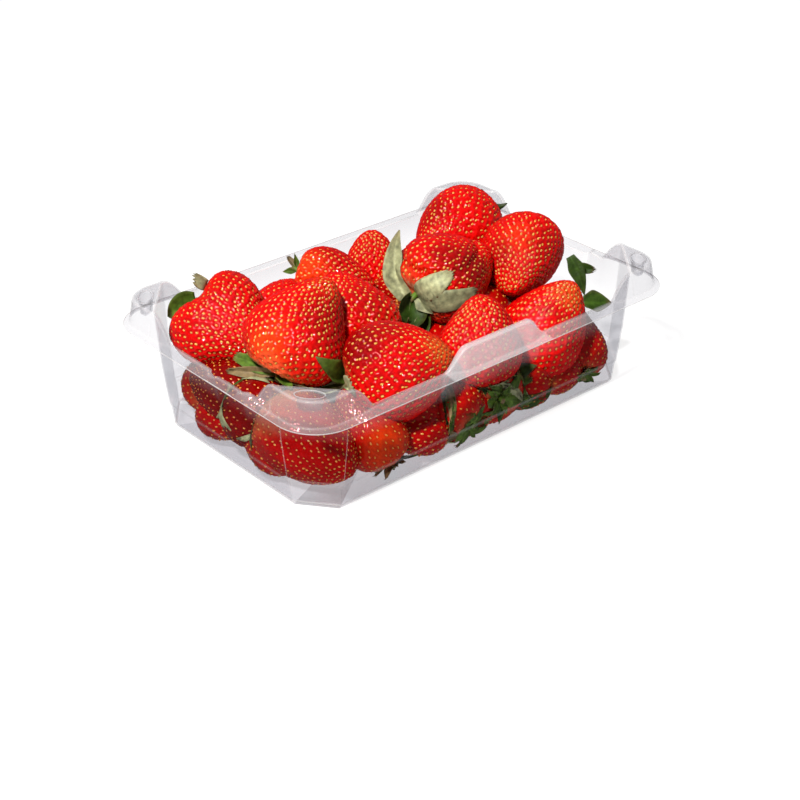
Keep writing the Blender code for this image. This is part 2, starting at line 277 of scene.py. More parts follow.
def rim_shape(kind, place):
    """Rise of the rim, width of its ridge and depth of its flute at a station."""
    if kind == "corner":
        return RAISE, RIDGE, 0.0
    if kind == "end":
        rise = corner_raise(CHAMFER_Y - abs(place))
        flute = sum(FLUTE_DEPTH * math.cos(math.pi / 2 * min(abs(place - y) / FLUTE_HALF, 1.0)) ** 2
                    for y in FLUTE_Y)
        dip = smoothstep((max(FLUTE_Y) - place) / 1.2) * smoothstep((place - min(FLUTE_Y)) / 1.2)
        return rise - FLUTE_DIP * dip, RIDGE, flute
    rise = corner_raise(CHAMFER_X - abs(place))
    if kind == "front":
        bump = smoothstep((BUMP_FOOT - abs(place - BUMP_CENTRE)) / (BUMP_FOOT - BUMP_TOP))
        return rise + BUMP * bump, RIDGE + (BUMP_RIDGE - RIDGE) * bump, 0.0
    step = smoothstep(place - LOW_STEP_FROM + 0.5) * smoothstep(LOW_STEP_TO - place + 0.5)
    return rise + LOW_STEP * step, RIDGE, 0.0


def tub_half(z):
    """Half length and half width of the tub's outer face, upright above the flange."""
    slack = TAPER * min(z - FLANGE_Z, 0.0)
    return RIM_LENGTH / 2 - FLANGE_END + slack, RIM_WIDTH / 2 - FLANGE_SIDE + slack


def on_straight(kind, place, half_x, half_y, side):
    if kind == "end":
        return Vector((side * half_x, place))
    return Vector((place, side * half_y))


def on_chamfer(t, sx, sy, half_x, half_y):
    """Point of the cut-off corner: t = 0 on the end wall, t = 1 on the long wall."""
    first = Vector((sx * half_x, sy * CHAMFER_Y))
    last = Vector((sx * CHAMFER_X, sy * half_y))
    return first.lerp(last, t)


def on_round(t, sx, sy, half_x, half_y, radius):
    """Point of the rounded corner outside the cut-off one, by share of its length."""
    along_y = half_y - radius - CHAMFER_Y
    along_x = half_x - radius - CHAMFER_X
    bend = radius * math.pi / 2
    run = t * (along_y + bend + along_x)
    if run <= along_y:
        x, y = half_x, CHAMFER_Y + run
    elif run <= along_y + bend:
        angle = (run - along_y) / radius
        x = half_x - radius + radius * math.cos(angle)
        y = half_y - radius + radius * math.sin(angle)
    else:
        x = half_x - radius - (run - along_y - bend)
        y = half_y
    return Vector((sx * x, sy * y))


def stations():
    """Stations round the rim, counter-clockwise, as (kind, place, sign x, sign y)."""
    share = [i / CORNER_STEPS for i in range(1, CORNER_STEPS)]
    share = [0.25 * share[0], *share, 1 - 0.25 * share[0]]
    route = [("end", y, 1, 0) for y in end_stations()]
    route += [("corner", t, 1, 1) for t in share]
    route += [("back", x, 0, 1) for x in reversed(side_stations(1))]
    route += [("corner", t, -1, 1) for t in reversed(share)]
    route += [("end", y, -1, 0) for y in reversed(end_stations())]
    route += [("corner", t, -1, -1) for t in share]
    route += [("front", x, 0, -1) for x in side_stations(-1)]
    route += [("corner", t, 1, -1) for t in reversed(share)]
    return route


def wall_point(station, z, grow):
    """Point of the tub wall at height z, moved outward by grow."""
    kind, place, sx, sy = station
    half_x, half_y = tub_half(z)
    if kind == "corner":
        spot = on_chamfer(place, sx, sy, half_x + grow, half_y + grow)
    else:
        spot = on_straight(kind, place, half_x + grow, half_y + grow, sx + sy)
    return Vector((spot.x, spot.y, z))


def rim_point(station, z, grow, radius):
    """Point outside the tub wall at height z, on the rounded outline."""
    kind, place, sx, sy = station
    half_x, half_y = tub_half(FLANGE_Z)
    if kind == "corner":
        spot = on_round(place, sx, sy, half_x + grow, half_y + grow, radius)
    else:
        spot = on_straight(kind, place, half_x + grow, half_y + grow, sx + sy)
    return Vector((spot.x, spot.y, z))


def flange_point(station):
    kind, place, sx, sy = station
    if kind == "corner":
        spot = on_round(place, sx, sy, RIM_LENGTH / 2, RIM_WIDTH / 2, RIM_CORNER)
    else:
        spot = on_straight(kind, place, RIM_LENGTH / 2, RIM_WIDTH / 2, sx + sy)
    return Vector((spot.x, spot.y, FLANGE_Z))


def fillet(points, radius, steps):
    """The same line with its inner corners rounded, and how bright each point is."""
    line = [points[0]]
    bright = [0.0]
    for before, corner, after, bend in zip(points, points[1:], points[2:], LINES[1:]):
        back = before - corner
        ahead = after - corner
        reach = min(radius, 0.45 * back.length, 0.45 * ahead.length)
        start = corner + back.normalized() * reach
        end = corner + ahead.normalized() * reach
        for k in range(steps + 1):
            t = k / steps
            line.append(start.lerp(corner, t).lerp(corner.lerp(end, t), t))
            bright.append(bend if 0 < k < steps else 0.0)
    line.append(points[-1])
    bright.append(EDGE_LINE)
    return line, bright


def punnet_column(station):
    """The sheet's section at one station, from foot to edge, with its lines and haze."""
    rise, ridge, flute = rim_shape(station[0], station[1])
    top = FLANGE_Z + FLANGE_FALL + rise
    foot = FLANGE_Z + 0.8 * FLANGE_FALL - max(-rise, 0.0)
    draft = 0.6 + DRAFT * max(rise, 0.0) / RAISE
    points = [
        wall_point(station, 0.0, -FOOT_RADIUS),
        wall_point(station, FOOT_RADIUS, -CREASE_STEP),
        wall_point(station, CREASE_Z, -CREASE_STEP),
        wall_point(station, CREASE_Z + CREASE_RISE, 0.0),
        wall_point(station, FLUTE_Z, 0.0),
        wall_point(station, top, flute),
        rim_point(station, top, flute + ridge, RAISE_RADIUS),
        rim_point(station, foot, flute + ridge + draft, RAISE_RADIUS + draft),
        flange_point(station),
    ]
    points.insert(-1, points[-1].lerp(points[-2], 0.06))
    line, bright = fillet(points, FILLET, FILLET_STEPS)
    if abs(station[1]) in (CHAMFER_X, CHAMFER_Y):
        bright = [max(b, CREASE_LINE) if point.z < top - 1 else b
                  for b, point in zip(bright, line)]
    on_bump = station[0] == "front" and abs(station[1] - BUMP_CENTRE) < BUMP_FOOT
    share = BUMP_HAZE if on_bump else HAZE
    haze = [share * smoothstep(point.z - FLANGE_Z + 1.0) for point in line]
    return line, list(zip(bright, haze))


def sheet_mesh():
    columns = [punnet_column(s) for s in stations()]
    rows = len(columns[0][0])
    count = len(columns)
    verts = [tuple(point) for line, _ in columns for point in line]
    shine = [value for _, values in columns for value in values] + [(0.0, 0.0)]
    faces = []
    for i in range(count):
        j = (i + 1) % count
        for k in range(rows - 1):
            faces.append((i * rows + k, j * rows + k, j * rows + k + 1, i * rows + k + 1))
    middle = len(verts)
    verts.append((0.0, 0.0, 0.0))
    for i in range(count):
        faces.append((((i + 1) % count) * rows, i * rows, middle))
    return verts, faces, shine


def cup_places():
    """Middle of each corner's shelf and the direction that its cup lies along."""
    half_x, half_y = tub_half(FLANGE_Z + RAISE)
    for sx in (-1, 1):
        for sy in (-1, 1):
            middle = on_chamfer(0.5, sx, sy, half_x, half_y)
            apex = on_round(0.5, sx, sy, half_x + RIDGE, half_y + RIDGE, RAISE_RADIUS)
            centre = middle.lerp(apex, 0.5)
            along = (on_chamfer(1, sx, sy, half_x, half_y)
                     - on_chamfer(0, sx, sy, half_x, half_y))
            yield centre, math.atan2(along.y, along.x)


def oval_loft(rings, centre, turn):
    """A closed body through ovals (half length, half width, z), first and last shut."""
    verts = []
    for half_long, half_short, z in rings:
        for i in range(CUP_SIDES):
            angle = 2 * math.pi * i / CUP_SIDES
            x = half_long * math.cos(angle)
            y = half_short * math.sin(angle)
            verts.append((centre.x + x * math.cos(turn) - y * math.sin(turn),
                          centre.y + x * math.sin(turn) + y * math.cos(turn), z))
    faces = []
    for r in range(len(rings) - 1):
        for i in range(CUP_SIDES):
            j = (i + 1) % CUP_SIDES
            faces.append((r * CUP_SIDES + i, r * CUP_SIDES + j,
                          (r + 1) * CUP_SIDES + j, (r + 1) * CUP_SIDES + i))
    faces.append(tuple(reversed(range(CUP_SIDES))))
    last = (len(rings) - 1) * CUP_SIDES
    faces.append(tuple(range(last, last + CUP_SIDES)))
    return verts, faces


def cup_bodies():
    """The holes in the shelves, and the cups that hang in them."""
    shelf = FLANGE_Z + FLANGE_FALL + RAISE
    long_half, short_half = CUP_LENGTH / 2, CUP_WIDTH / 2
    holes, cups = [], []
    for n, (centre, turn) in enumerate(cup_places()):
        cut = [(long_half - SHEET / 2, short_half - SHEET / 2, z)
               for z in (shelf - 2, shelf + 2)]
        verts, faces = oval_loft(cut, centre, turn)
        holes.append(add_object(f"hole_{n}", verts, faces))
        floor = shelf - CUP_DEPTH
        low = CUP_TAPER
        rings = [
            (low * long_half - 1, low * short_half - 1, floor),
            (low * long_half, low * short_half, floor + 0.7),
            (long_half, short_half, shelf - 0.3),
            (long_half + 0.5, short_half + 0.5, shelf + SHEET * 0.5),
            (long_half + 0.1, short_half + 0.1, shelf + SHEET),
            (long_half - SHEET, short_half - SHEET, shelf - 0.2),
            (low * long_half - SHEET, low * short_half - SHEET, floor + 0.9),
            (low * long_half - 1 - SHEET, low * short_half - 1 - SHEET, floor + SHEET),
        ]
        verts, faces = oval_loft(rings, centre, turn)
        shine = [(CUP_LINE if r in (3, 4) else 0.0, 0.5 * HAZE)
                 for r in range(len(rings)) for _ in range(CUP_SIDES)]
        cups.append(add_object(f"cup_{n}", verts, faces, shine))
    return holes, cups


def join(name, objects):
    """One object from several, with their materials' places kept."""
    target = bmesh.new()
    for obj in objects:
        target.from_mesh(obj.data)
        bpy.data.objects.remove(obj)
    mesh = bpy.data.meshes.new(name)
    target.to_mesh(mesh)
    target.free()
    mesh.shade_smooth()
    result = bpy.data.objects.new(name, mesh)
    bpy.context.scene.collection.objects.link(result)
    return result


def make_punnet():
    verts, faces, shine = sheet_mesh()
    tub = add_object("tub", verts, faces, shine)
    sheet = tub.modifiers.new("Sheet", "SOLIDIFY")
    sheet.thickness = SHEET * MM
    sheet.offset = -1.0
    sheet.use_even_offset = True
    holes, cups = cup_bodies()
    group = bpy.data.collections.new("holes")
    for hole in holes:
        group.objects.link(hole)
    cut = tub.modifiers.new("Holes", "BOOLEAN")
    cut.operation = "DIFFERENCE"
    cut.solver = "EXACT"
    cut.operand_type = "COLLECTION"
    cut.collection = group
    apply_modifiers(tub)
    for hole in holes:
        bpy.data.objects.remove(hole)
    bpy.data.collections.remove(group)
    punnet = join("punnet_sheet", [tub, *cups])
    finish_piece(punnet, "punnet", "clear_plastic", clear_plastic())
    return punnet


# ---------------------------------------------------------------- berry skins
def cube_sphere(count):
    """Unit directions and quads of a cube's faces blown up to a ball, evenly spread."""
    index = {}
    spots = []
    quads = []
    half = count

    def vertex(a, b, c):
        key = (a, b, c)
        if key not in index:
            index[key] = len(spots)
            warped = [math.tan(math.pi / 4 * v / half) for v in key]
            size = math.sqrt(sum(w * w for w in warped))
            spots.append([w / size for w in warped])
        return index[key]

    def corner(axis, side, i, j):
        place = [0, 0, 0]
        place[axis] = side * half
        place[(axis + 1) % 3] = -half + 2 * i
        place[(axis + 2) % 3] = -half + 2 * j
        return vertex(*place)

    for axis in range(3):
        for side in (-1, 1):
            for i in range(count):
                for j in range(count):
                    quad = [corner(axis, side, i, j), corner(axis, side, i + 1, j),
                            corner(axis, side, i + 1, j + 1), corner(axis, side, i, j + 1)]
                    quads.append(quad if side > 0 else quad[::-1])
    return np.array(spots), np.array(quads)


def traits_of(name):
    return {**PLAIN, **TRAITS.get(name, {})}


def profile(z, traits):
    """Radius of the berry's section by height, -1 at the stalk and 1 at the tip."""
    power = 2 + 3 * traits["flat"] * ramp(-z, 0.0, 0.6)
    body = np.sqrt(np.clip(1 - np.abs(z) ** power, 0, 1))
    return body * (1 - SHOULDER * z) * (1 - traits["point"] * np.clip(z, 0, 1))


def berry_skin(unit, name, spec):
    """Local points of the berry's skin for unit directions, before pits. Z is the axis."""
    _, length, width, _, _, thick, _ = spec
    traits = traits_of(name)
    heights = np.linspace(-1, 1, 400)
    broad = profile(heights, traits).max()
    z = unit[:, 2]
    round_part = np.sqrt(np.clip(1 - z * z, 1e-12, 1))
    swell = profile(z, traits) / round_part
    across = unit[:, :2] * (swell / broad * width / 2)[:, None]
    across[:, 1] *= thick
    angle = np.arctan2(unit[:, 1], unit[:, 0])
    high = z * length / 2
    stalk = ramp(-z, -0.2, 1.0)
    high = high + 0.085 * length * np.exp(-(round_part / 0.33) ** 2) * (z < 0)
    twice = np.cos(2 * (angle - math.radians(traits["lobe_turn"])))
    high = high - traits["lobes"] * length / 2 * stalk * twice * round_part ** 1.5
    points = np.column_stack([across, high])
    rng = random.Random(seed_of(name))
    for _ in range(5):
        wave = np.array([rng.gauss(0, 1) for _ in range(3)])
        wave *= rng.uniform(0.10, 0.22) / np.linalg.norm(wave)
        push = rng.uniform(0.2, 0.45) * np.sin(points @ wave + rng.uniform(0, 6.28))
        points = points + unit * push[:, None]
    if traits["furrow"]:
        turn, offset, depth = traits["furrow"]
        turn = math.radians(turn)
        plane = np.array([math.cos(turn), math.sin(turn), 0.0])
        away = (unit @ plane) - offset
        points = points - unit * (depth * np.exp(-(away / 0.09) ** 2))[:, None]
    if traits["valley"]:
        turn, depth = traits["valley"]
        away = unit[:, 0] * math.cos(math.radians(turn)) + unit[:, 1] * math.sin(math.radians(turn))
        deep = depth * np.exp(-(away / 0.36) ** 2) * ramp(-z, -0.6, 0.6)
        points = points - unit * deep[:, None]
    return points


def berry_place(spec):
    centre, _, _, azimuth, elevation, _, roll = spec
    lean = Matrix.Rotation(math.radians(90 - elevation), 4, "Y")
    swing = Matrix.Rotation(math.radians(azimuth), 4, "Z")
    quarter = Matrix.Rotation(math.radians(90 + roll), 4, "Z")
    return Matrix.Translation(Vector(centre)) @ swing @ lean @ quarter


def to_world(points, spec):
    place = np.array(berry_place(spec))
    return points @ place[:3, :3].T + place[:3, 3]


HEAP_TOP = 65.85


def confine(points):
    """Presses world points back inside the tub, where they would go through its wall."""
    z = np.clip(points[:, 2], SHEET + CLEARANCE, HEAP_TOP)
    slack = TAPER * np.minimum(z - FLANGE_Z, 0.0) - SHEET - CREASE_STEP - CLEARANCE
    half_x = RIM_LENGTH / 2 - FLANGE_END + slack
    half_y = RIM_WIDTH / 2 - FLANGE_SIDE + slack
    x = np.clip(points[:, 0], -half_x, half_x)
    y = np.clip(points[:, 1], -half_y, half_y)
    normal = np.column_stack([half_y - CHAMFER_Y, half_x - CHAMFER_X])
    normal /= np.linalg.norm(normal, axis=1)[:, None]
    past = (np.abs(x) - half_x) * normal[:, 0] + (np.abs(y) - CHAMFER_Y) * normal[:, 1]
    past = np.maximum(past + CLEARANCE, 0.0)
    x = np.sign(x) * (np.abs(x) - past * normal[:, 0])
    y = np.sign(y) * (np.abs(y) - past * normal[:, 1])
    return np.column_stack([x, y, z])


def settled(name, spec):
    """The same berry moved until it only just touches the walls and the base."""
    unit, _ = cube_sphere(8)
    points = to_world(berry_skin(unit, name, spec), spec)
    push = confine(points) - points
    shift = 0.8 * (push.max(axis=0) + push.min(axis=0))
    if name.startswith("floor"):
        shift[2] = SHEET + CLEARANCE - points[:, 2].min()
    return (tuple(np.add(spec[0], shift)), *spec[1:])


def seed_directions(name, spec):
    """Unit directions of the seeds, wound in a spiral from the stalk to the tip."""
    _, length, width, _, _, thick, _ = spec
    traits = traits_of(name)
    z = np.linspace(-1, 1, 600)
    radius = profile(z, traits)
    radius = radius / radius.max() * width / 2 * (1 + thick) / 2
    slope = np.gradient(radius, z)
    rise = length / 2
    ring = 2 * math.pi * radius * np.sqrt(slope ** 2 + rise ** 2)
    closer = 0.72 + 0.75 * ramp(z, -0.1, 0.95)
    area = np.cumsum(ring * closer) * (z[1] - z[0])
    count = int(area[-1] / (0.866 * traits["spacing"] ** 2))
    rng = random.Random(seed_of(name) + 1)
    shares = (np.arange(count) + 0.5) / count * area[-1]
    heights = np.interp(shares, area, z)
    heights += np.array([rng.gauss(0, 0.010) for _ in range(count)])
    heights = np.clip(heights, -0.999, 0.999)
    angles = np.arange(count) * GOLDEN_ANGLE
    angles += np.array([rng.gauss(0, 0.035) for _ in range(count)])
    keep = heights > -0.93
    heights, angles = heights[keep], angles[keep]
    flat = np.sqrt(1 - heights ** 2)
    return np.column_stack([flat * np.cos(angles), flat * np.sin(angles), heights])


def seed_frames(unit, name, spec):
    """Place, outward normal and tipward direction of each seed on the skin."""
    step = 0.01
    east = np.cross([0.0, 0.0, 1.0], unit)
    east /= np.linalg.norm(east, axis=1)[:, None]
    north = np.cross(unit, east)

    def skin(direction):
        return berry_skin(direction / np.linalg.norm(direction, axis=1)[:, None], name, spec)

    place = skin(unit)
    along = skin(unit + step * north) - place
    side = skin(unit + step * east) - place
    normal = np.cross(side, along)
    normal /= np.linalg.norm(normal, axis=1)[:, None]
    normal *= np.sign(np.sum(normal * unit, axis=1))[:, None]
    along /= np.linalg.norm(along, axis=1)[:, None]
    return place, normal, along


def skin_normals(points, quads):
    diagonal = points[quads[:, 2]] - points[quads[:, 0]]
    other = points[quads[:, 3]] - points[quads[:, 1]]
    face = np.cross(diagonal, other)
    total = np.zeros_like(points)
    for k in range(4):
        np.add.at(total, quads[:, k], face)
    return total / np.linalg.norm(total, axis=1)[:, None]


def pits(points, seeds):
    """Distance from each skin point to its nearest seed, and to the next one."""
    tree = KDTree(len(seeds))
    for i, seed in enumerate(seeds):
        tree.insert(seed, i)
    tree.balance()
    near = np.empty(len(points))
    second = np.empty(len(points))
    for i, point in enumerate(points):
        found = tree.find_n(point, 2)
        near[i] = found[0][2]
        second[i] = found[1][2]
    return near, second


def mottle(points, size, shift):
    return np.array([noise.noise(Vector(p) / size + shift) for p in points])


RED = np.array([0.66, 0.0012, 0.0010])
DEEP = np.array([0.24, 0.0008, 0.0015])
ORANGE = np.array([0.84, 0.046, 0.003])
PALE = np.array([0.85, 0.33, 0.12])
GREENISH = np.array([0.55, 0.11, 0.012])
# Painted shade: berries low in the heap are coloured darker, and those along the left end darker
# still, for the shadow that falls on them inside the punnet
PAINTED_LOW_SHADE = 0.65
PAINTED_SIDE_SHADE = 0.3
BRIGHT = np.array([0.82, 0.003, 0.002])
TONES = {"orange": ORANGE, "pale": PALE, "deep": DEEP, "green": GREENISH, "bright": BRIGHT}


def blend(colour, other, amount):
    return colour + (other - colour) * amount[:, None]


def spot_share(points, cloud, angle, height, radius):
    """How much of a spot's colour each skin point takes, with an uneven edge."""
    flat = math.sqrt(max(0.0, 1 - height * height))
    way = np.array([flat * math.cos(math.radians(angle)), flat * math.sin(math.radians(angle)),
                    height])
    size = np.linalg.norm(points, axis=1)
    centre = points[np.argmax(points @ way / size)]
    distance = np.linalg.norm(points - centre, axis=1) * (1 + 0.35 * cloud)
    return 1 - ramp(distance, 0.35 * radius, 1.35 * radius)


def skin_colour(unit, points, near, name):
    """Ripe red, with an orange to pale shoulder on one side and a greenish tip, and painted shade in
    the seed pits and on low berries.
    """
    traits = traits_of(name)
    rng = random.Random(seed_of(name) + 2)
    shift = Vector((rng.uniform(0, 50), rng.uniform(0, 50), rng.uniform(0, 50)))
    cloud = mottle(points, 11.0, shift)
    z = unit[:, 2]
    side = math.radians(rng.uniform(0, 360))
    facing = unit[:, 0] * math.cos(side) + unit[:, 1] * math.sin(side)
    colour = np.tile(RED, (len(unit), 1))
    colour = blend(colour, DEEP, np.clip(0.35 * cloud + 0.12 + traits["dark"], 0, 1))
    stalk = ramp(-z + 0.25 * cloud + traits["lean"] * 0.35 * facing, 0.25, 1.05)
    colour = blend(colour, ORANGE, np.clip(1.3 * traits["pale"] * stalk, 0, 0.95))
    collar = ramp(-z + 0.12 * cloud, 0.80, 1.0)
    colour = blend(colour, PALE, 0.75 * collar * min(1.0, 0.4 + traits["pale"]))
    tip = ramp(z + 0.15 * cloud, 0.62, 1.05)
    colour = blend(colour, GREENISH, traits["green"] * tip)
    for angle, height, radius, tone, share in traits["spots"]:
        colour = blend(colour, TONES[tone], share * spot_share(points, cloud, angle, height, radius))
    # Painted shade: the skin darkens round each seed's pit, and the whole berry darkens when it lies
    # low in the heap or at its left end
    painted_pit_shade = np.exp(-(near / 0.75) ** 2)
    shade = 1.0 if name in TOP_BERRIES else PAINTED_SIDE_SHADE if "side" in name else PAINTED_LOW_SHADE
    return blend(colour, colour * 0.72, painted_pit_shade) * shade


class Builder:
    """Collects the parts of one piece: vertices, faces, and numbers on each vertex."""

    def __init__(self, name):
        self.name = name
        self.verts = []
        self.faces = []
        self.count = 0
        self.colours = []
        self.slots = []
        self.grain = LEAF_FINE

    def add(self, verts, faces, colours, slot=0):
        self.verts.append(confine(np.asarray(verts)))
        self.faces += [tuple(int(v) + self.count for v in face) for face in faces]
        self.colours.append(np.asarray(colours))
        self.slots += [slot] * len(faces)
        self.count += len(verts)

    def build(self):
        obj = add_object(self.name, np.concatenate(self.verts), self.faces)
        colours = np.concatenate(self.colours)
        layer = obj.data.color_attributes.new("tone", "FLOAT_COLOR", "POINT")
        values = np.ones((len(colours), 4), dtype=np.float32)
        values[:, :3] = colours
        layer.data.foreach_set("color", values.ravel())
        obj.data.polygons.foreach_set("material_index", self.slots)
        return obj


def add_skin(builder, name, spec, ball, depth, reach):
    unit, quads = ball
    points = berry_skin(unit, name, spec)
    normals = skin_normals(points, quads)
    seeds, _, _ = seed_frames(seed_directions(name, spec), name, spec)
    near, second = pits(points, seeds)
    ridge = 0.34 * np.exp(-((second - near) / 0.5) ** 2)
    push = ridge - depth * np.exp(-(near / reach) ** 2)
    colour = skin_colour(unit, points, near, name)
    points = points + normals * push[:, None]
    builder.add(to_world(points, spec), quads, colour)


# One seed: a low teardrop
SEED_RINGS = ((1.0, -0.2), (0.8, 0.75))
SEED_LENGTH = 1.45
SEED_WIDTH = 0.86
SEED_HEIGHT = 0.45
SEED_SIDES = 5
SEED_GOLD = np.array([0.56, 0.25, 0.02])
SEED_STRAW = np.array([0.72, 0.42, 0.08])
SEED_GREEN = np.array([0.42, 0.34, 0.05])
SEED_BROWN = np.array([0.40, 0.10, 0.02])


def seed_shape(rings):
    """A seed's points and faces, from rings of (share of its size, share of its height)."""
    verts = []
    for share, height in rings:
        for k in range(SEED_SIDES):
            angle = 2 * math.pi * k / SEED_SIDES
            x = 0.5 * SEED_LENGTH * share * math.cos(angle)
            y = 0.5 * SEED_WIDTH * share * math.sin(angle) * (1 - 0.4 * math.cos(angle))
            verts.append((x, y, SEED_HEIGHT * height))
    verts.append((-0.1, 0.0, SEED_HEIGHT))
    faces = []
    top = (len(rings) - 1) * SEED_SIDES
    for k in range(SEED_SIDES):
        j = (k + 1) % SEED_SIDES
        if top:
            faces.append((k, j, SEED_SIDES + j, SEED_SIDES + k))
        faces.append((top + k, top + j, top + SEED_SIDES))
    return np.array(verts), faces


def add_seeds(builder, name, spec, depth):
    unit = seed_directions(name, spec)
    places, normals, alongs = seed_frames(unit, name, spec)
    traits = traits_of(name)
    shape, faces = seed_shape(SEED_RINGS if name in TOP_BERRIES else SEED_RINGS[:1])
    rng = random.Random(seed_of(name) + 3)
    for direction, place, normal, along in zip(unit, places, normals, alongs):
        swing = rng.gauss(0, 0.25)
        side = np.cross(normal, along)
        ahead = along * math.cos(swing) + side * math.sin(swing)
        across = np.cross(normal, ahead)
        size = rng.uniform(0.85, 1.12)
        axes = np.array([ahead, across, normal])
        origin = place - normal * (depth - 0.20)
        gold = SEED_GOLD + (SEED_STRAW - SEED_GOLD) * rng.random()
        unripe = traits["green"] * float(ramp(np.array([direction[2]]), 0.3, 0.9)[0])
        tone = gold + (SEED_GREEN - gold) * min(1.0, 0.15 * rng.random() + unripe)
        if rng.random() < 0.12:
            tone = tone + (SEED_BROWN - tone) * rng.uniform(0.2, 0.7)
        verts = (shape * size) @ axes + origin
        tones = np.tile(tone, (len(verts), 1))
        tones[:SEED_SIDES] *= (0.85, 0.35, 0.25)
        builder.add(to_world(verts, spec), faces, tones)


# ---------------------------------------------------------------- calyxes
# The leaves that stand out from a berry's stalk end. Each: azimuth and elevation of
# the way it sets off, roll about it (its face looks up at no roll), length, width,
# how far it bends towards its back and sweeps to its right, how deep its face is
# cupped, its tip and its look
LEAVES = {
    "left_heart": (
        (-71, 60, -107, 18, 6.5, 0, -105, 0.2, "spread", "pale"),
        (190, -14, 10, 17, 6.0, 10, 0, 0.8, "point", "dry"),
        (100, 20, 20, 10, 6.0, 30, 0, 0.5, "point", "green"),
        (60, 10, -20, 12, 6.0, 30, 0, 0.5, "point", "green")),
    "front_tall": (
        (101, -2, 56, 24, 6.5, 10, 0, 0.5, "teeth", "pale"),
        (112, 8, 56, 20, 6.0, 15, 0, 0.4, "ragged", "green"),
        (127, -4, 61, 20, 4.5, 10, 0, 0.6, "ragged", "dry"),
        (95, -18, 67, 15, 11.0, 25, 0, 0.8, "round", "green"),
        (20, -49, -103, 12, 7.0, 10, 0, 0.4, "teeth", "dark"),
        (-80, 5, 10, 17, 6.5, 20, 0, 0.5, "point", "green"),
        (-110, 10, 0, 14, 6.0, 20, 0, 0.5, "teeth", "mixed")),
    "front_large": (
        (-179, 44, 88, 22, 9.5, 0, 0, 0.3, "point", "green"),
        (152, 2, 30, 23, 6.5, 10, 0, 0.5, "teeth", "green"),
        (161, -3, 40, 21, 6.0, 10, 0, 0.4, "teeth", "pale"),
        (120, 10, 30, 12, 6.0, 20, 0, 0.5, "point", "mixed")),
    "folded": (
        (-150, -30, 50, 14, 12.5, 20, 0, 0.7, "round", "dark"),
        (-64, 40, -95, 20, 7.5, -5, 0, 0.4, "ragged", "pale"),
        (-92, -20, -60, 10, 6.5, 10, 0, 0.5, "teeth", "pale"),
        (-56, 12, -78, 25, 7.0, -5, 0, 0.5, "ragged", "pale"),
        (-103, -57, -24, 17, 9.5, 15, 0, 0.7, "point", "dark"),
        (-130, -55, 10, 16, 9.0, 20, 0, 0.5, "point", "dark")),
    "back_lying": (
        (105, 45, 41, 7, 2.5, 40, 0, 0.6, "ragged", "dry"),
        (150, 5, 50, 5, 3.0, 40, 0, 0.6, "point", "green"),
        (80, 60, 20, 6, 2.5, -40, 0, 0.6, "point", "mixed")),
}
# Leaves of berries whose calyx is turned away: where they start, then as above
LOOSE_LEAVES = (
    ((7.5, 2.5, 38.0), (98, 48, 42, 28, 11.0, 0, 55, 0.4, "point", "pale")),
    ((-57.5, 52, 42), (184, -6, 48, 14, 10.5, 20, 0, 0.6, "round", "green")),
    ((-48.7, -25.6, 29.8), (-106, 42, -105, 10.5, 9.0, 15, 0, 0.4, "spread", "pale")),
    ((73, -22, 47.5), (-80, -50, -45, 17, 6.5, 10, 20, 0.2, "teeth", "dark")),
    ((73, -23, 42), (-50, -5, -60, 10, 4.5, 10, 0, 0.2, "ragged", "dark")),
    ((69, -34, 31), (-22, -8, -40, 13, 10, 10, 0, 0.4, "point", "dark")),
)
CALYX = {"count": 10, "length": 11.5, "lift": 12.0, "bend": -10.0, "dry": 0.2}
LEAF_FINE = (14, 4)
LEAF_COARSE = (8, 2)
TOOTH = 0.30
FINE_TOOTH = 0.10
CRUMPLE = 0.55
LEAF_THICK = 0.24
LEAF_GAP = 0.45
NOTCH = 1.4
LEAF_DARK = np.array([0.026, 0.058, 0.005])
LEAF_GREEN = np.array([0.072, 0.135, 0.014])
LEAF_PALE = np.array([0.330, 0.345, 0.185])
LEAF_DRY = np.array([0.170, 0.120, 0.055])
LOOKS = {"green": (LEAF_GREEN, LEAF_PALE), "dark": (LEAF_DARK, LEAF_DARK),
         "pale": (LEAF_PALE, LEAF_GREEN), "dry": (LEAF_DRY, LEAF_DRY),
         "mixed": (LEAF_GREEN, LEAF_DRY)}


def leaf_half_width(share, tip):
    """Half width of a leaf by share of its length, as a share of its half width."""
    if tip == "round":
        return max(0.05, math.sin(math.pi * min(0.12 + 0.88 * share, 1.0)) ** 0.55)
    if tip == "spread":
        return (0.35 + 0.65 * smoothstep((share - 0.4) / 0.35)) * (1 - 0.3 * share ** 6)
    base = 0.55 + 0.45 * smoothstep(share / 0.35)
    if tip == "ragged":
        return base * (1 - 0.55 * smoothstep((share - 0.4) / 0.7))
    body = base * max(0.0, 1 - max(0.0, share - 0.3) / 0.7) ** 0.75
    return max(0.05, body)


def turned(vector, axis, degrees):
    return Matrix.Rotation(math.radians(degrees), 3, axis) @ vector


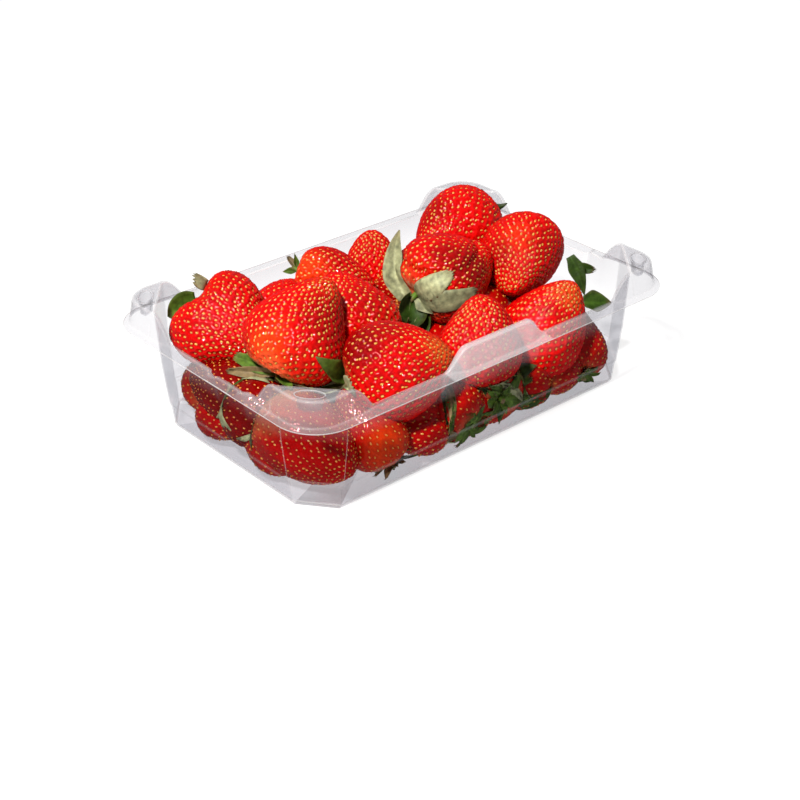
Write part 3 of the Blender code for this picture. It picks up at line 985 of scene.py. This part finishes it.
def leaf_grid(base, ahead, face, leaf, twist, grain):
    """Points of a leaf's middle sheet, by step along it and place across it."""
    length, width, bend, sweep, cup, tip, _ = leaf
    steps, halves = grain
    ahead = ahead.normalized()
    face = (face - ahead * face.dot(ahead)).normalized()
    spot = Vector(base)
    rows, places = [], []
    for k in range(steps + 1):
        share = k / steps
        side = ahead.cross(face)
        half = width / 2 * leaf_half_width(share, tip)
        tooth = TOOTH if tip == "teeth" else FINE_TOOTH
        half *= 1 + tooth * (k % 2) * smoothstep(share / 0.4)
        torn = NOTCH * smoothstep((share - 0.7) / 0.3) if tip in ("ragged", "spread") else 0.0
        row = []
        for j in range(-halves, halves + 1):
            t = j / halves
            flat = spot + side * half * t
            rise = cup * half * (t * t - 0.3) - 0.3 * math.exp(-(t / 0.2) ** 2)
            rise += CRUMPLE * noise.noise(flat / 2.8)
            back = torn * (0.7 * abs(t) + j % 2)
            row.append(flat + face * rise - ahead * back)
            places.append((share, t))
        rows.append(row)
        spot = spot + ahead * length / steps
        ahead = turned(ahead, side, -bend / steps)
        face = turned(face, side, -bend / steps)
        ahead = turned(ahead, face, -sweep / steps)
        face = turned(face, ahead, twist / steps)
    return np.array(rows), places


def skin_reach(points, name, spec):
    """How far the berry's skin is from its middle, in the directions of local points."""
    direction = points / np.linalg.norm(points, axis=1)[:, None]
    unit = direction.copy()
    for _ in range(4):
        skin = berry_skin(unit, name, spec)
        skin_way = skin / np.linalg.norm(skin, axis=1)[:, None]
        unit = unit + direction - skin_way
        unit /= np.linalg.norm(unit, axis=1)[:, None]
    return np.linalg.norm(berry_skin(unit, name, spec), axis=1)


def lift_off(points, group):
    """Moves world points that lie inside a berry out to its skin."""
    for name, spec in group.items():
        place = np.array(berry_place(spec))
        local = (points - place[:3, 3]) @ place[:3, :3]
        distance = np.linalg.norm(local, axis=1)
        if distance.min() > max(spec[1], spec[2]) / 2 + 3:
            continue
        inside = distance < skin_reach(local, name, spec) + LEAF_GAP
        if inside.any():
            reach = skin_reach(local[inside], name, spec) + LEAF_GAP
            local[inside] *= (reach / distance[inside])[:, None]
            points = local @ place[:3, :3].T + place[:3, 3]
    return points


def near_berries(place, specs):
    return {name: spec for name, spec in specs.items()
            if (Vector(spec[0]) - place).length < 42}


def leaf_faces(grain):
    """Faces of a leaf: its upper side, its lower side, and the edge between them."""
    steps, halves = grain
    across = 2 * halves + 1
    count = across * (steps + 1)
    faces = []
    for k in range(steps):
        for j in range(across - 1):
            a = k * across + j
            quad = (a, a + across, a + across + 1, a + 1)
            faces.append(quad[::-1])
            faces.append(tuple(v + count for v in quad))
        for j in (0, across - 1):
            a = k * across + j
            quad = (a, a + count, a + across + count, a + across)
            faces.append(quad[::-1] if j == 0 else quad)
    for k in (0, steps):
        for j in range(across - 1):
            a = k * across + j
            quad = (a, a + 1, a + 1 + count, a + count)
            faces.append(quad[::-1] if k == 0 else quad)
    return faces


def leaf_colours(places, look, dry, rng):
    """Colour of the upper and lower points: paler on the veins, brown at dry edges."""
    top, under = LOOKS[look]
    tone = rng.uniform(0.75, 1.25)
    rows = []
    for base in (top, under):
        for share, t in places:
            vein = math.exp(-(t / 0.14) ** 2)
            colour = base * tone * (0.85 + 0.55 * vein * (1 - share))
            brown = dry * (smoothstep((share - 0.75) * 4) + 0.5 * smoothstep((abs(t) - 0.7) * 3))
            rows.append(colour + (LEAF_DRY - colour) * min(brown, 0.9))
    return rows


def add_leaf(builder, base, ahead, face, leaf, group, rng):
    """One leaf from base along ahead, its upper side towards face, laid over the berries."""
    grid, places = leaf_grid(base, ahead, face, leaf, rng.gauss(0, 10), builder.grain)
    shape = grid.shape
    for _ in range(2):
        grid = lift_off(grid.reshape(-1, 3), group).reshape(shape)
        smooth = grid.copy()
        smooth[1:-1] = (grid[:-2] + 2 * grid[1:-1] + grid[2:]) / 4
        grid = smooth
    grid = confine(lift_off(grid.reshape(-1, 3), group)).reshape(shape)
    along = np.gradient(grid, axis=0)
    over = np.gradient(grid, axis=1)
    normal = np.cross(over, along)
    normal /= np.maximum(np.linalg.norm(normal, axis=2), 1e-6)[:, :, None]
    thin = np.array([1 - 0.8 * abs(t) ** 3 for _, t in places]).reshape(shape[:2])
    half = normal * (LEAF_THICK / 2 * thin)[:, :, None]
    points = np.concatenate([(grid + half).reshape(-1, 3), (grid - half).reshape(-1, 3)])
    colours = leaf_colours(places, leaf[6], rng.uniform(0.1, 0.6), rng)
    builder.add(points, leaf_faces(builder.grain), colours)


def stalk_end(name, spec):
    """The middle of the berry's stalk end and the way that the stalk leaves it."""
    local = berry_skin(np.array([[0.0, 0.0, -1.0]]), name, spec)
    place = Vector(to_world(local, spec)[0])
    away = berry_place(spec).to_3x3() @ Vector((0, 0, -1))
    return place, away


def add_placed_leaf(builder, base, entry, group, rng):
    """A leaf whose way is given by azimuth, elevation and roll."""
    azimuth, elevation, roll, *leaf = entry
    ahead = Vector((1, 0, 0))
    ahead.rotate(Matrix.Rotation(math.radians(-elevation), 3, "Y"))
    ahead.rotate(Matrix.Rotation(math.radians(azimuth), 3, "Z"))
    side = Vector((0, 0, 1)).cross(ahead).normalized()
    face = turned(ahead.cross(side), ahead, -roll)
    add_leaf(builder, base + ahead * 1.5, ahead, face, leaf, group, rng)


def add_whorl(builder, place, away, turn, group, rng):
    """The ring of leaves round a stalk end, laid back over the berry's shoulders."""
    for k in range(CALYX["count"]):
        angle = 2 * math.pi * (k + rng.uniform(-0.25, 0.25)) / CALYX["count"]
        size = 0.75 if k % 2 else 1.0
        out = turn @ Vector((math.cos(angle), math.sin(angle), 0))
        lift = math.radians(CALYX["lift"] + rng.gauss(0, 14))
        ahead = out * math.cos(lift) + away * math.sin(lift)
        face = away * math.cos(lift) - out * math.sin(lift)
        length = CALYX["length"] * rng.uniform(0.75, 1.15) * size
        look = rng.choice(("green", "green", "green", "dark", "mixed"))
        tip = rng.choice(("point", "point", "teeth", "teeth", "ragged"))
        leaf = (length, length * rng.uniform(0.40, 0.55), CALYX["bend"] + rng.gauss(0, 30),
                rng.gauss(0, 20), rng.uniform(-0.4, 0.9), tip, look)
        add_leaf(builder, place + away * 0.5 + out * 1.2, ahead, face, leaf, group, rng)


def add_calyx(builder, name, spec, specs):
    rng = random.Random(seed_of(name) + 4)
    place, away = stalk_end(name, spec)
    group = near_berries(place, specs)
    if name in LEAVES:
        for entry in LEAVES[name]:
            add_placed_leaf(builder, place + away * 0.8, entry, group, rng)
    else:
        add_whorl(builder, place, away, berry_place(spec).to_3x3(), group, rng)
    add_stub(builder, place, away, rng)


STUB_SIDES = 8
STUB_LENGTH = 4.5
STUB_RADIUS = 1.1


def add_stub(builder, place, away, rng):
    """The cut stalk: a short green rod, a little bent, with a flat end."""
    side = away.orthogonal().normalized()
    other = away.cross(side)
    lean = side * rng.uniform(-0.3, 0.3) + other * rng.uniform(-0.3, 0.3)
    verts, faces = [], []
    shares = (0.0, 0.3, 0.6, 1.0)
    for share in shares:
        centre = place + (away + lean * share) * (STUB_LENGTH * share - 0.6)
        radius = STUB_RADIUS * (1.25 - 0.3 * share)
        for k in range(STUB_SIDES):
            angle = 2 * math.pi * k / STUB_SIDES
            verts.append(centre + (side * math.cos(angle) + other * math.sin(angle)) * radius)
    for r in range(len(shares) - 1):
        for k in range(STUB_SIDES):
            j = (k + 1) % STUB_SIDES
            faces.append((r * STUB_SIDES + k, r * STUB_SIDES + j,
                          (r + 1) * STUB_SIDES + j, (r + 1) * STUB_SIDES + k))
    last = (len(shares) - 1) * STUB_SIDES
    faces.append(tuple(range(last, last + STUB_SIDES)))
    faces.append(tuple(reversed(range(STUB_SIDES))))
    colours = [LEAF_GREEN * 1.3] * (3 * STUB_SIDES) + [LEAF_DRY] * STUB_SIDES
    builder.add(np.array(verts), faces, colours)


# ---------------------------------------------------------------- materials
def new_material(name):
    material = bpy.data.materials.new(name)
    material.use_nodes = True
    tree = material.node_tree
    return material, tree, tree.nodes["Principled BSDF"]


def node(tree, kind, **values):
    made = tree.nodes.new(kind)
    for key, value in values.items():
        made.inputs[key.replace("_", " ")].default_value = value
    return made


def bump(tree, source, strength, distance):
    made = node(tree, "ShaderNodeBump", Strength=strength, Distance=distance * MM)
    tree.links.new(source, made.inputs["Height"])
    return made


def berry_flesh():
    material, tree, shader = new_material("strawberry_skin")
    tone = tree.nodes.new("ShaderNodeVertexColor")
    tone.layer_name = "tone"
    where = tree.nodes.new("ShaderNodeTexCoord")
    speck = node(tree, "ShaderNodeTexNoise", Scale=900.0, Detail=3.0)
    tree.links.new(where.outputs["Object"], speck.inputs["Vector"])
    shade = node(tree, "ShaderNodeMapRange", From_Min=0.3, From_Max=0.7, To_Min=0.82, To_Max=1.12)
    tree.links.new(speck.outputs["Fac"], shade.inputs["Value"])
    mix = tree.nodes.new("ShaderNodeVectorMath")
    mix.operation = "SCALE"
    tree.links.new(tone.outputs["Color"], mix.inputs["Vector"])
    tree.links.new(shade.outputs["Result"], mix.inputs["Scale"])
    tree.links.new(mix.outputs["Vector"], shader.inputs["Base Color"])
    wrinkle = node(tree, "ShaderNodeTexNoise", Scale=650.0, Detail=2.0)
    tree.links.new(where.outputs["Object"], wrinkle.inputs["Vector"])
    relief = bump(tree, wrinkle.outputs["Fac"], 0.28, 0.35)
    tree.links.new(relief.outputs["Normal"], shader.inputs["Normal"])
    shader.inputs["Roughness"].default_value = 0.15
    shader.inputs["Specular IOR Level"].default_value = 0.45
    shader.inputs["Specular Tint"].default_value = (1.0, 0.25, 0.25, 1)
    shader.inputs["Subsurface Weight"].default_value = 0.12
    shader.inputs["Subsurface Radius"].default_value = (1.0, 0.12, 0.06)
    shader.inputs["Subsurface Scale"].default_value = 0.0018
    tree.links.new(relief.outputs["Normal"], shader.inputs["Coat Normal"])
    shader.inputs["Coat Weight"].default_value = 0.45
    shader.inputs["Coat Roughness"].default_value = 0.05
    return material


def seed_material():
    material, tree, shader = new_material("seed")
    tone = tree.nodes.new("ShaderNodeVertexColor")
    tone.layer_name = "tone"
    where = tree.nodes.new("ShaderNodeTexCoord")
    grain = node(tree, "ShaderNodeTexNoise", Scale=2500.0, Detail=1.0)
    tree.links.new(where.outputs["Object"], grain.inputs["Vector"])
    shade = node(tree, "ShaderNodeMapRange", From_Min=0.3, From_Max=0.7, To_Min=0.8, To_Max=1.15)
    tree.links.new(grain.outputs["Fac"], shade.inputs["Value"])
    mix = tree.nodes.new("ShaderNodeVectorMath")
    mix.operation = "SCALE"
    tree.links.new(tone.outputs["Color"], mix.inputs["Vector"])
    tree.links.new(shade.outputs["Result"], mix.inputs["Scale"])
    tree.links.new(mix.outputs["Vector"], shader.inputs["Base Color"])
    shader.inputs["Roughness"].default_value = 0.38
    shader.inputs["Coat Weight"].default_value = 0.2
    return material


def leaf_material():
    material, tree, shader = new_material("calyx_leaf")
    tone = tree.nodes.new("ShaderNodeVertexColor")
    tone.layer_name = "tone"
    where = tree.nodes.new("ShaderNodeTexCoord")
    blotch = node(tree, "ShaderNodeTexNoise", Scale=420.0, Detail=4.0)
    tree.links.new(where.outputs["Object"], blotch.inputs["Vector"])
    shade = node(tree, "ShaderNodeMapRange", From_Min=0.3, From_Max=0.7, To_Min=0.55, To_Max=1.4)
    tree.links.new(blotch.outputs["Fac"], shade.inputs["Value"])
    mix = tree.nodes.new("ShaderNodeVectorMath")
    mix.operation = "SCALE"
    tree.links.new(tone.outputs["Color"], mix.inputs["Vector"])
    tree.links.new(shade.outputs["Result"], mix.inputs["Scale"])
    tree.links.new(mix.outputs["Vector"], shader.inputs["Base Color"])
    veins = node(tree, "ShaderNodeTexVoronoi", Scale=700.0)
    veins.feature = "DISTANCE_TO_EDGE"
    tree.links.new(where.outputs["Object"], veins.inputs["Vector"])
    relief = bump(tree, veins.outputs["Distance"], 0.4, 0.3)
    tree.links.new(relief.outputs["Normal"], shader.inputs["Normal"])
    shader.inputs["Roughness"].default_value = 0.5
    shader.inputs["Specular IOR Level"].default_value = 0.2
    return material


def painted_shade_core_material():
    material, tree, shader = new_material("heap_shade")
    where = tree.nodes.new("ShaderNodeTexCoord")
    cloud = node(tree, "ShaderNodeTexNoise", Scale=120.0, Detail=3.0)
    tree.links.new(where.outputs["Object"], cloud.inputs["Vector"])
    tint = tree.nodes.new("ShaderNodeValToRGB")
    # Painted shade: near-black reds stand for the shadow deep in the heap between the berries
    tint.color_ramp.elements[0].color = (0.030, 0.002, 0.002, 1)
    tint.color_ramp.elements[1].color = (0.110, 0.006, 0.005, 1)
    tree.links.new(cloud.outputs["Fac"], tint.inputs["Fac"])
    tree.links.new(tint.outputs["Color"], shader.inputs["Base Color"])
    shader.inputs["Roughness"].default_value = 0.6
    return material


def clear_plastic():
    """A thin clear sheet: it mirrors by its angle to the eye and lets the rest through.

    The raised rim, where the sheet is drawn thin and scuffed, has a milky haze that gives off a
    faint painted glow, and its bends and its cut edge show as fine lines."""
    material, tree, shader = new_material("clear_sheet")
    weight = node(tree, "ShaderNodeLayerWeight", Blend=0.5)
    through = tree.nodes.new("ShaderNodeBsdfTransparent")
    tint = tree.nodes.new("ShaderNodeMix")
    tint.data_type = "RGBA"
    tint.inputs["A"].default_value = (0.985, 0.985, 0.988, 1)
    tint.inputs["B"].default_value = (0.84, 0.84, 0.86, 1)
    tree.links.new(weight.outputs["Facing"], tint.inputs["Factor"])
    haze = tree.nodes.new("ShaderNodeAttribute")
    haze.attribute_name = "haze"
    rim = node(tree, "ShaderNodeMapRange", From_Min=0.0, From_Max=HAZE, To_Min=0.0, To_Max=1.0)
    tree.links.new(haze.outputs["Fac"], rim.inputs["Value"])
    drawn = tree.nodes.new("ShaderNodeMix")
    drawn.data_type = "RGBA"
    drawn.inputs["B"].default_value = (0.855, 0.855, 0.868, 1)
    tree.links.new(rim.outputs["Result"], drawn.inputs["Factor"])
    tree.links.new(tint.outputs["Result"], drawn.inputs["A"])
    tree.links.new(drawn.outputs["Result"], through.inputs["Color"])
    fall = tree.nodes.new("ShaderNodeMath")
    fall.operation = "POWER"
    fall.inputs[1].default_value = 7.0
    tree.links.new(weight.outputs["Facing"], fall.inputs[0])
    share = node(tree, "ShaderNodeMapRange", From_Min=0.0, From_Max=1.0, To_Min=0.002, To_Max=0.35)
    tree.links.new(fall.outputs["Value"], share.inputs["Value"])
    glossy = node(tree, "ShaderNodeBsdfAnisotropic", Roughness=0.08)
    glossy.inputs["Color"].default_value = (1, 1, 1, 1)
    mix = tree.nodes.new("ShaderNodeMixShader")
    tree.links.new(share.outputs["Result"], mix.inputs["Fac"])
    tree.links.new(through.outputs["BSDF"], mix.inputs[1])
    tree.links.new(glossy.outputs["BSDF"], mix.inputs[2])
    where = tree.nodes.new("ShaderNodeTexCoord")
    wave = node(tree, "ShaderNodeTexNoise", Scale=45.0, Detail=2.0)
    tree.links.new(where.outputs["Object"], wave.inputs["Vector"])
    relief = bump(tree, wave.outputs["Fac"], 0.05, 1.2)
    tree.links.new(relief.outputs["Normal"], glossy.inputs["Normal"])
    line = tree.nodes.new("ShaderNodeAttribute")
    line.attribute_name = "line"
    shader.inputs["Base Color"].default_value = (0.98, 0.97, 0.98, 1)
    shader.inputs["Roughness"].default_value = 0.3
    # Painted glow: the milky rim gives off a little light of its own, standing in for light
    # scattered through the sheet
    shader.inputs["Emission Color"].default_value = (1.0, 0.97, 0.98, 1)
    shader.inputs["Emission Strength"].default_value = 0.25
    hazy = tree.nodes.new("ShaderNodeMixShader")
    tree.links.new(haze.outputs["Fac"], hazy.inputs["Fac"])
    tree.links.new(mix.outputs["Shader"], hazy.inputs[1])
    tree.links.new(shader.outputs["BSDF"], hazy.inputs[2])
    edge = tree.nodes.new("ShaderNodeBsdfDiffuse")
    edge.inputs["Color"].default_value = (0.78, 0.76, 0.76, 1)
    whole = tree.nodes.new("ShaderNodeMixShader")
    tree.links.new(line.outputs["Fac"], whole.inputs["Fac"])
    tree.links.new(hazy.outputs["Shader"], whole.inputs[1])
    tree.links.new(edge.outputs["BSDF"], whole.inputs[2])
    output = tree.nodes["Material Output"]
    tree.links.new(whole.outputs["Shader"], output.inputs["Surface"])
    return material


# ---------------------------------------------------------------- the heap
PIT_DEPTH = {FINE: 0.80, MEDIUM: 0.45, COARSE: 0.15}
PIT_REACH = 0.85


def skin_count(name):
    """How finely a berry's skin is cut: the hidden middle of the heap is coarse."""
    if name in TOP_BERRIES:
        return FINE
    return COARSE if "middle" in name or "small" in name else MEDIUM


def make_berries():
    balls = {count: cube_sphere(count) for count in PIT_DEPTH}
    low = {name: settled(name, spec) for name, spec in LOW_BERRIES.items()}
    specs = {**TOP_BERRIES, **low}
    flesh = berry_flesh()
    seed = seed_material()
    for piece, names in PIECES.items():
        builder = Builder(piece)
        for name in names:
            count = skin_count(name)
            add_skin(builder, name, specs[name], balls[count], PIT_DEPTH[count], PIT_REACH)
        finish_piece(builder.build(), "berries", "strawberry_flesh", flesh)
    for piece, group in (("seeds_top", TOP_BERRIES), ("seeds_below", low)):
        builder = Builder(piece)
        for name, spec in group.items():
            add_seeds(builder, name, spec, PIT_DEPTH[skin_count(name)])
        finish_piece(builder.build(), "berries", "strawberry_flesh", seed)
    builder = Builder("calyx_leaves")
    for name, spec in specs.items():
        builder.grain = LEAF_FINE if name in TOP_BERRIES else LEAF_COARSE
        if "small" not in name:
            add_calyx(builder, name, spec, specs)
    builder.grain = LEAF_FINE
    rng = random.Random(11)
    for base, entry in LOOSE_LEAVES:
        add_placed_leaf(builder, Vector(base), entry, near_berries(Vector(base), specs), rng)
    finish_piece(builder.build(), "berries", "strawberry_flesh", leaf_material())


CORE_HALF = np.array([73.0, 40.0, 11.0])
CORE_Z = 13.0


def make_core():
    """The middle of the heap, smaller than the berries round it, coloured dark as painted shade in
    the gaps.
    """
    ball, quads = cube_sphere(24)
    points = np.sign(ball) * np.abs(ball) ** 0.5 * CORE_HALF + np.array([0.0, 0.0, CORE_Z])
    lumps = mottle(points, 11.0, Vector((3, 7, 1)))
    points = confine(points + ball * (3.0 * lumps - 1.0)[:, None])
    core = add_object("heap_core", points, quads.tolist())
    finish_piece(core, "berries", "strawberry_flesh", painted_shade_core_material())


# ---------------------------------------------------------------- camera, light and floor
CAMERA_PLACE = (-0.3899, -0.4463, 0.3345)
CAMERA_TURN = (60.32, 0.0, -41.24)
CAMERA_LENS = 75.735
TARGET = Vector((0.0, 0.0, 0.03))


def make_camera():
    data = bpy.data.cameras.new("camera")
    data.lens = CAMERA_LENS
    data.sensor_width = 36.0
    camera = bpy.data.objects.new("camera", data)
    camera.location = CAMERA_PLACE
    camera.rotation_euler = [math.radians(a) for a in CAMERA_TURN]
    bpy.context.scene.collection.objects.link(camera)
    bpy.context.scene.camera = camera


def add_light(name, direction, distance, size, power, colour):
    data = bpy.data.lights.new(name, "AREA")
    data.shape = "DISK"
    data.size = size
    data.energy = power
    data.color = colour
    light = bpy.data.objects.new(name, data)
    away = Vector(direction).normalized()
    light.location = TARGET + away * distance
    light.rotation_euler = away.to_track_quat("Z", "Y").to_euler()
    bpy.context.scene.collection.objects.link(light)
    return light


def make_stage():
    scene = bpy.context.scene
    scene.view_settings.view_transform = "Standard"
    world = bpy.data.worlds.new("studio")
    scene.world = world
    world.use_nodes = True
    background = world.node_tree.nodes["Background"]
    background.inputs["Color"].default_value = (1.0, 1.0, 1.0, 1)
    background.inputs["Strength"].default_value = 0.12
    add_light("key", (-0.547, -0.215, 0.781), 1.1, 0.10, 19.5, (1.0, 0.98, 0.95))
    fill = add_light("fill", (0.6, 0.4, 0.8), 1.4, 0.9, 6.0, (1.0, 1.0, 1.0))
    fill.visible_glossy = False
    half = 3.0
    mesh = bpy.data.meshes.new("floor")
    low = -0.0003
    mesh.from_pydata([(-half, -half, low), (half, -half, low), (half, half, low),
                      (-half, half, low)], [], [(0, 1, 2, 3)])
    floor = bpy.data.objects.new("floor", mesh)
    scene.collection.objects.link(floor)
    material, tree, shader = new_material("pale_floor")
    shader.inputs["Base Color"].default_value = (0.26, 0.26, 0.26, 1)
    shader.inputs["Roughness"].default_value = 0.9
    shader.inputs["Emission Color"].default_value = (1.0, 1.0, 1.0, 1)
    shader.inputs["Emission Strength"].default_value = 0.78
    mesh.materials.append(material)
    floor.visible_glossy = False


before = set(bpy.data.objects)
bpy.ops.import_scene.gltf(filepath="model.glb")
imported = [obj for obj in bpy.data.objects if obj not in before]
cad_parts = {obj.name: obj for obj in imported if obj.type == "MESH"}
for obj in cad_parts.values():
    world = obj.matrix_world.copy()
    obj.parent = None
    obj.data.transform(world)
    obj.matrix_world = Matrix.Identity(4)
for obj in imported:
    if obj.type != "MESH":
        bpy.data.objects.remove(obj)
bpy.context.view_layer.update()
make_camera()
make_stage()
make_punnet()
make_core()
make_berries()
